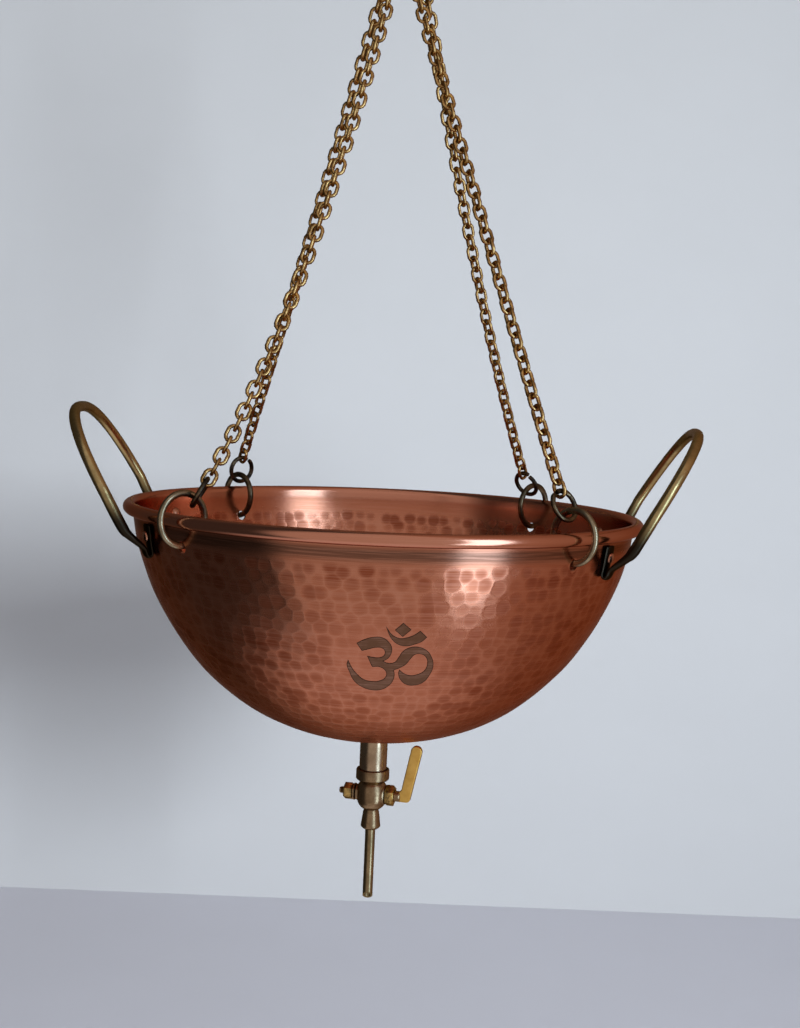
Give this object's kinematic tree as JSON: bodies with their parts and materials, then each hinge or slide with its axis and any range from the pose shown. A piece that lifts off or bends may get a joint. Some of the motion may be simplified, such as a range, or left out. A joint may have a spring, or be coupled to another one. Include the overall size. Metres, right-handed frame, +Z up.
{
  "type": "shirodhara pot",
  "caption": "Hammered copper bowl that hangs on brass chains from an S-hook and lets warm oil run out slowly through a small plug tap and a drip tube.",
  "frame": {"origin": "inside top of the S-hook's upper bend, where the pot hangs on its carrier", "axes": "+Z up, along the line that the pot hangs on; -Y towards the side with the sign; +X to the right, towards the tap lever"},
  "size_m": [0.2992, 0.2498, 0.5383],
  "materials": {
    "hammered_copper": "satin copper, hammered",
    "rim_wire": "drawn copper wire",
    "antique_brass": "antique brass, worn bright on top",
    "dark_brass": "dark brass patina",
    "blackened_brass": "blackened brass",
    "chain_brass": "golden brass with dark recesses",
    "yellow_brass": "bright yellow brass",
    "solder": "rough brown solder",
    "packing": "matte packing ring"
  },
  "bodies": {
    "hook": {"s_hook": "dark_brass"},
    "gather": {"gather_ring": "dark_brass"},
    "pot": {"bowl": "hammered_copper", "rim_wire": "rim_wire", "left_handle": "antique_brass", "right_handle": "antique_brass", "left_handle_rivet_1": "hammered_copper", "left_handle_rivet_2": "hammered_copper", "right_handle_rivet_1": "hammered_copper", "right_handle_rivet_2": "hammered_copper", "drain_pipe": "dark_brass", "drain_solder": "solder", "tap_body": "dark_brass", "gland_nut": "yellow_brass", "gland_packing": "packing", "drip_tube": "dark_brass", "front_left_top_ring": "dark_brass", "front_right_top_ring": "dark_brass", "back_left_top_ring": "dark_brass", "back_right_top_ring": "dark_brass", "front_left_chain_1": "chain_brass", "front_left_chain_2": "chain_brass", "front_left_chain_3": "chain_brass", "front_left_chain_4": "chain_brass", "front_left_chain_5": "chain_brass", "front_left_chain_6": "chain_brass", "front_left_chain_7": "chain_brass", "front_right_chain_1": "chain_brass", "front_right_chain_2": "chain_brass", "front_right_chain_3": "chain_brass", "front_right_chain_4": "chain_brass", "front_right_chain_5": "chain_brass", "front_right_chain_6": "chain_brass", "front_right_chain_7": "chain_brass", "back_left_chain_1": "chain_brass", "back_left_chain_2": "chain_brass", "back_left_chain_3": "chain_brass", "back_left_chain_4": "chain_brass", "back_left_chain_5": "chain_brass", "back_left_chain_6": "chain_brass", "back_left_chain_7": "chain_brass", "back_right_chain_1": "chain_brass", "back_right_chain_2": "chain_brass", "back_right_chain_3": "chain_brass", "back_right_chain_4": "chain_brass", "back_right_chain_5": "chain_brass", "back_right_chain_6": "chain_brass", "back_right_chain_7": "chain_brass"},
    "tap_key": {"tap_plug": "yellow_brass", "tap_lever": "yellow_brass", "tail_washer": "dark_brass", "tail_nut": "yellow_brass"},
    "front_left_rim": {"front_left_rim_ring": "dark_brass"},
    "front_left_jump": {"front_left_jump_ring": "blackened_brass"},
    "front_right_rim": {"front_right_rim_ring": "dark_brass"},
    "front_right_jump": {"front_right_jump_ring": "blackened_brass"},
    "back_left_rim": {"back_left_rim_ring": "dark_brass"},
    "back_left_jump": {"back_left_jump_ring": "blackened_brass"},
    "back_right_rim": {"back_right_rim_ring": "dark_brass"},
    "back_right_jump": {"back_right_jump_ring": "blackened_brass"}
  },
  "joints": [
    {"name": "ring_swing", "type": "hinge", "parent": "hook", "child": "gather", "pos_m": [0, 0, -0.0535], "axis": [0, 1, 0], "range_deg": [-45, 45]},
    {"name": "pot_swing", "type": "hinge", "parent": "gather", "child": "pot", "pos_m": [0, 0, -0.0841], "axis": [1, 0, 0], "range_deg": [-45, 45]},
    {"name": "tap_turn", "type": "hinge", "parent": "pot", "child": "tap_key", "pos_m": [0, 0, -0.4791], "axis": [0.9659, -0.2588, 0], "range_deg": [0, 90]},
    {"name": "front_left_rim_ring_turn", "type": "hinge", "parent": "pot", "child": "front_left_rim", "pos_m": [-0.0854, -0.08247, -0.33814], "axis": [0.6947, -0.7193, 0], "continuous": true},
    {"name": "front_left_jump_ring_turn", "type": "hinge", "parent": "pot", "child": "front_left_jump", "pos_m": [-0.07922, -0.07651, -0.32675], "axis": [-0.869, -0.0419, 0.493], "continuous": true},
    {"name": "front_right_rim_ring_turn", "type": "hinge", "parent": "pot", "child": "front_right_rim", "pos_m": [0.08104, -0.086, -0.33806], "axis": [0.7278, 0.6858, 0], "continuous": true},
    {"name": "front_right_jump_ring_turn", "type": "hinge", "parent": "pot", "child": "front_right_jump", "pos_m": [0.07683, -0.08153, -0.32518], "axis": [0.619, -0.6569, 0.4305], "continuous": true},
    {"name": "back_left_rim_ring_turn", "type": "hinge", "parent": "pot", "child": "back_left_rim", "pos_m": [-0.0811, 0.09007, -0.3405], "axis": [-0.7431, -0.6691, 0], "continuous": true},
    {"name": "back_left_jump_ring_turn", "type": "hinge", "parent": "pot", "child": "back_left_jump", "pos_m": [-0.07977, 0.0886, -0.32638], "axis": [-0.6626, 0.7359, 0.1392], "continuous": true},
    {"name": "back_right_rim_ring_turn", "type": "hinge", "parent": "pot", "child": "back_right_rim", "pos_m": [0.08226, 0.08608, -0.33923], "axis": [-0.723, 0.6909, 0], "continuous": true},
    {"name": "back_right_jump_ring_turn", "type": "hinge", "parent": "pot", "child": "back_right_jump", "pos_m": [0.07726, 0.08085, -0.32694], "axis": [0.5953, 0.6229, 0.5075], "continuous": true}
  ]
}
